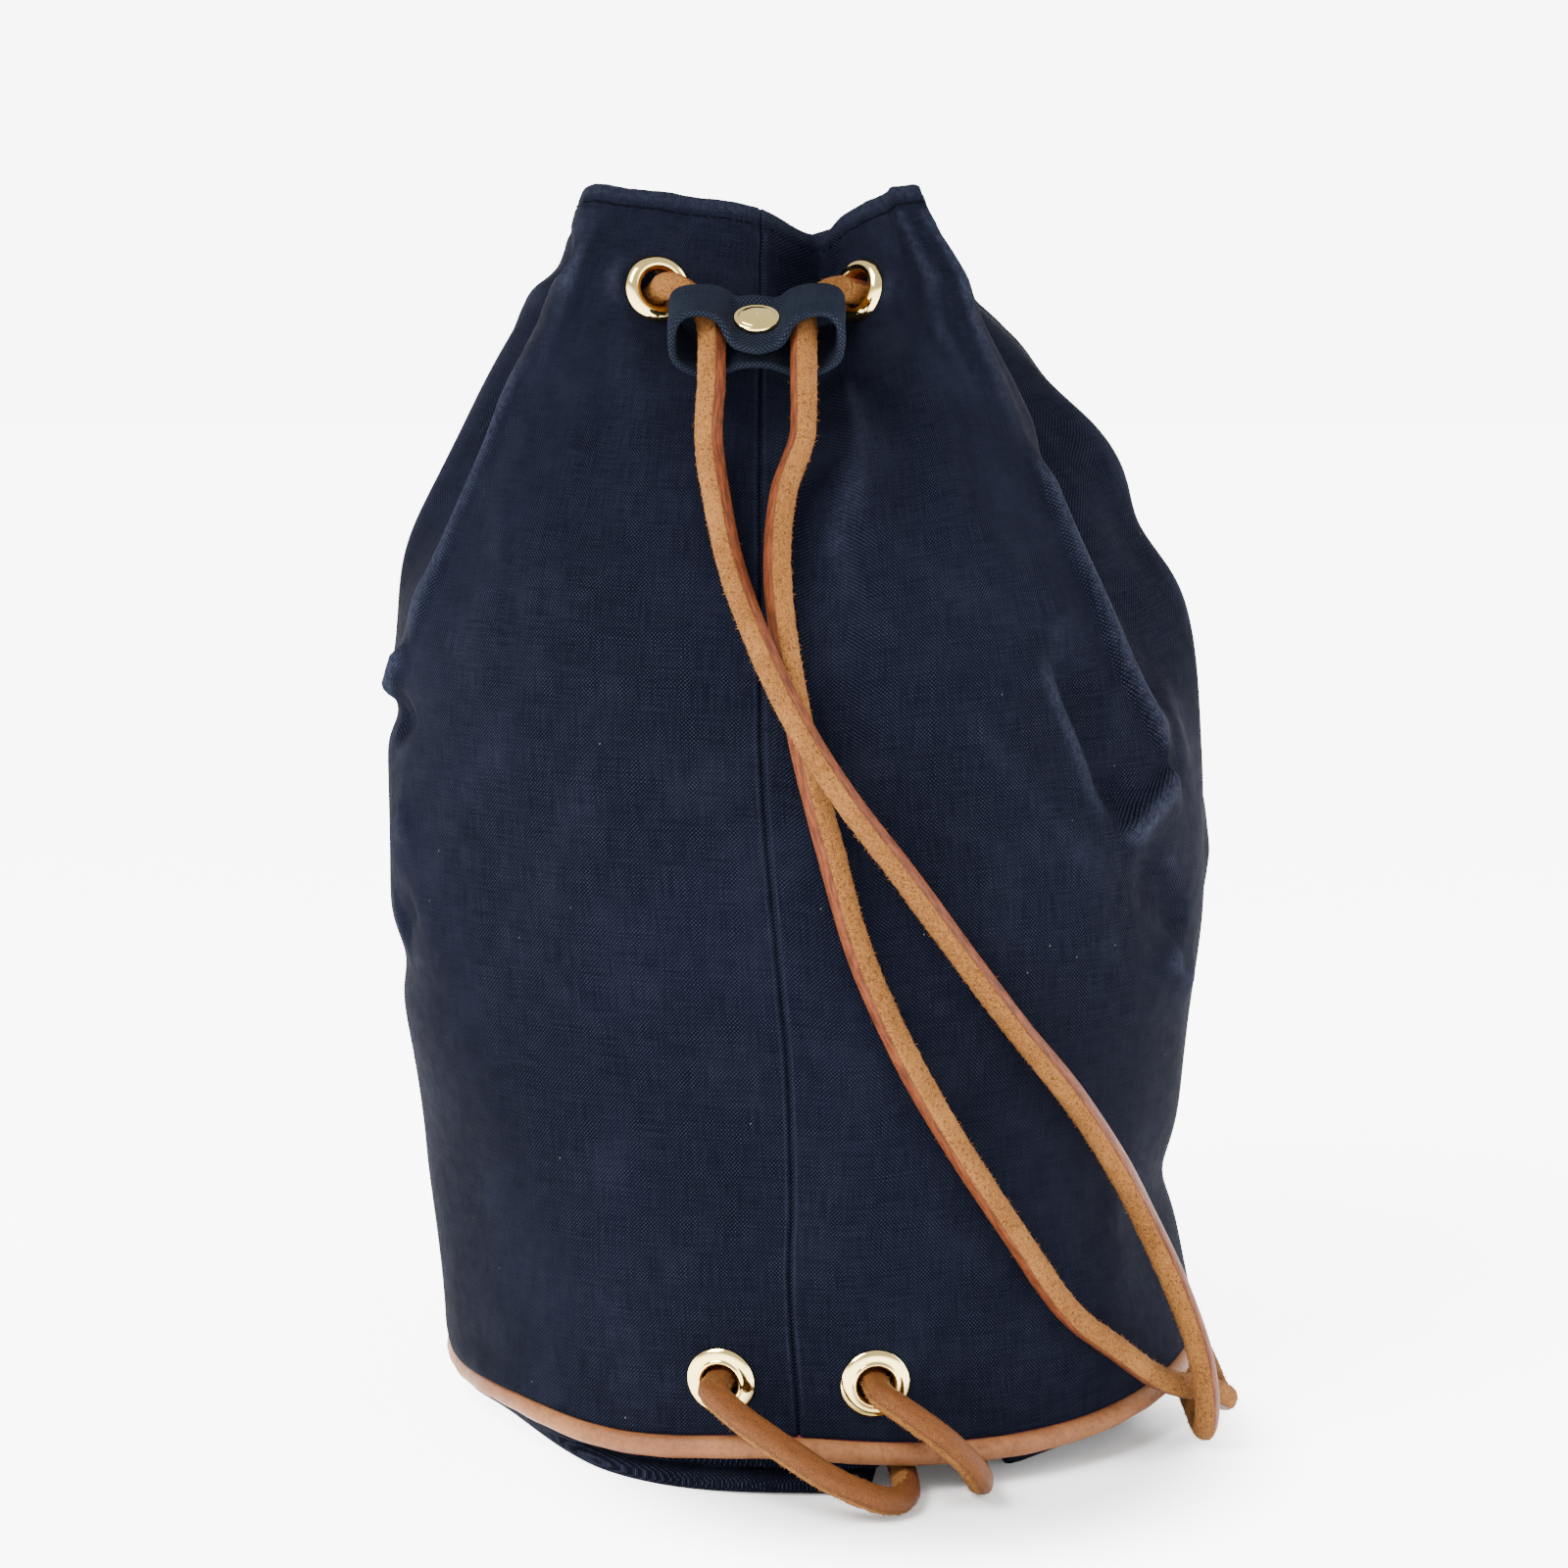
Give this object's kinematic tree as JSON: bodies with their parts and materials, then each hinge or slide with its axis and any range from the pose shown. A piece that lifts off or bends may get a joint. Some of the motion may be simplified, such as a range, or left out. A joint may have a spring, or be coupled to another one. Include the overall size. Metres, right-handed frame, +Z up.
{
  "type": "bucket bag",
  "caption": "Soft canvas drawstring bucket bag with a round base, metal eyelets, a leather cord that closes the mouth and forms the shoulder strap, and a snap keeper.",
  "frame": {"origin": "centre of the bag's footprint, on the surface it stands on", "axes": "+Z up, -Y out of the seam side, where the strap and its eyelets are, +X to the right as that side is seen"},
  "size_m": [0.1993, 0.2245, 0.2811],
  "materials": {
    "canvas": "plain-weave cotton canvas, matt",
    "lining": "twill lining, matt",
    "leather": "vegetable-tanned, satin grain with a fuzzy flesh side",
    "hardware": "polished pale gold"
  },
  "bodies": {
    "bag": {"body_canvas": "canvas", "mouth_facing": "canvas", "seam_binding": "canvas", "base_canvas": "canvas", "base_stiffener": "lining", "base_lining": "lining", "base_binding": "canvas", "piping_leather": "leather", "piping_core": "lining", "strap_patch": "canvas", "eyelet_1": "hardware", "eyelet_2": "hardware", "eyelet_3": "hardware", "eyelet_4": "hardware", "eyelet_5": "hardware", "eyelet_6": "hardware", "eyelet_7": "hardware", "eyelet_8": "hardware", "washer_1": "hardware", "washer_2": "hardware", "washer_3": "hardware", "washer_4": "hardware", "washer_5": "hardware", "washer_6": "hardware", "washer_7": "hardware", "washer_8": "hardware", "foot_eyelet_left": "hardware", "foot_eyelet_right": "hardware", "foot_washer_left": "hardware", "foot_washer_right": "hardware", "mouth_cord": "leather", "strap_cord_a": "leather", "strap_cord_b": "leather", "strap_knot_a": "leather", "strap_knot_b": "leather"},
    "keeper": {"keeper_band": "canvas", "snap_stud": "hardware", "snap_post": "hardware"},
    "snap": {"keeper_front": "canvas", "snap_cap": "hardware", "snap_socket": "hardware"}
  },
  "joints": [
    {"name": "keeper_slide", "type": "hinge", "parent": "bag", "child": "keeper", "pos_m": [0, -0.049, 0.232], "axis": [1, 0, 0], "range_deg": [0, 52]},
    {"name": "snap_release", "type": "slide", "parent": "keeper", "child": "snap", "axis": [0, -0.5446, 0.8387], "range_m": [0, 0.004]}
  ]
}
